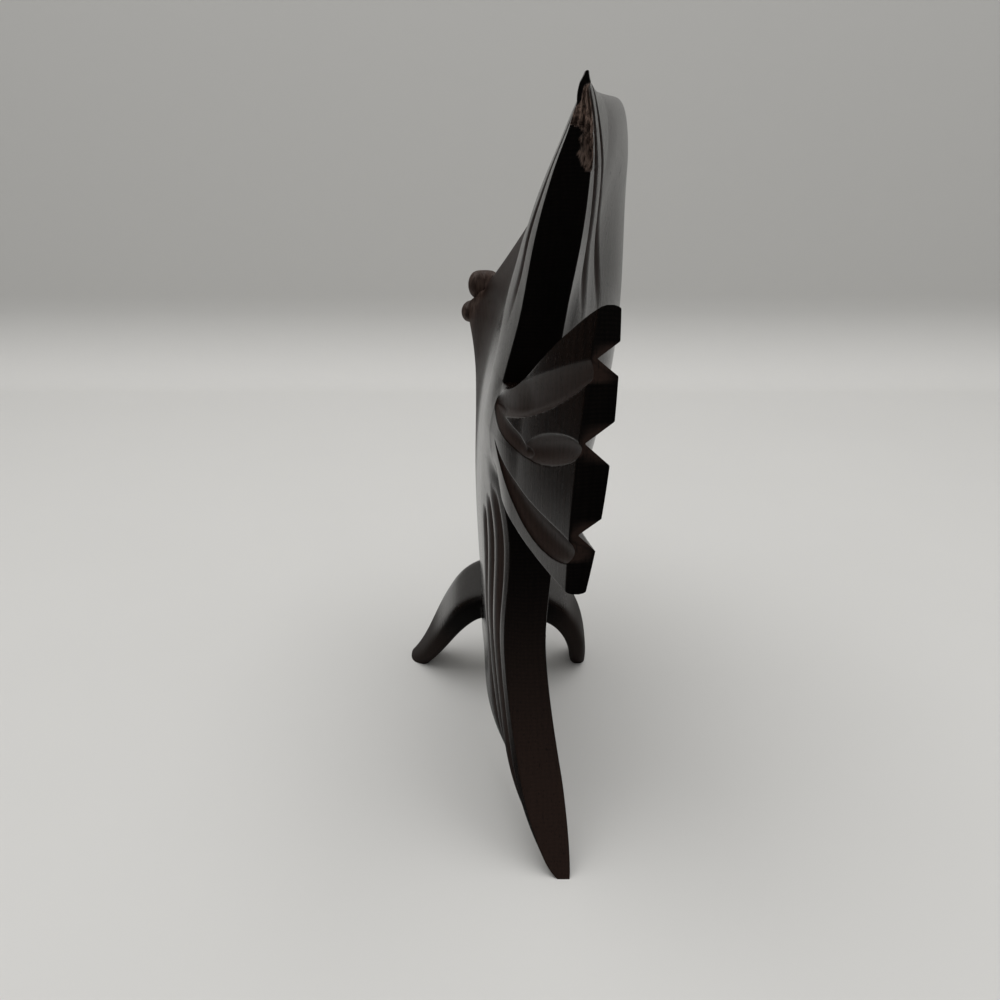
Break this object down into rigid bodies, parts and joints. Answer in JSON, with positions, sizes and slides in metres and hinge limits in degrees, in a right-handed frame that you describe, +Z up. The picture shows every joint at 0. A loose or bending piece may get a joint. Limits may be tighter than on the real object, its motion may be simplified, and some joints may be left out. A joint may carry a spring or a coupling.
{
  "type": "carved wooden angelfish figurine",
  "caption": "Dark polished hardwood angelfish with swept fins, fluted tail fan and swaying body, free-standing on its pelvic fins and anal fin tip as a shelf ornament.",
  "frame": {"origin": "on the table under the middle of the figure's box", "axes": "+Z up, +Y from the tail towards the mouth, +X to the fish's own right side"},
  "size_m": [0.0656, 0.1872, 0.1835],
  "materials": {
    "dark_wood": "polished and waxed",
    "eye": "polished",
    "dowel": "raw"
  },
  "bodies": {
    "root": {"body": "dark_wood", "dorsal_fin": "dark_wood", "anal_fin": "dark_wood", "tail_fin": "dark_wood", "left_pelvic_fin": "dark_wood", "right_pelvic_fin": "dark_wood", "left_eye": "eye", "right_eye": "eye", "dorsal_dowel_rear": "dowel", "dorsal_dowel_front": "dowel", "anal_dowel_rear": "dowel", "anal_dowel_front": "dowel", "tail_dowel": "dowel", "pelvic_pin": "dowel"}
  },
  "joints": []
}
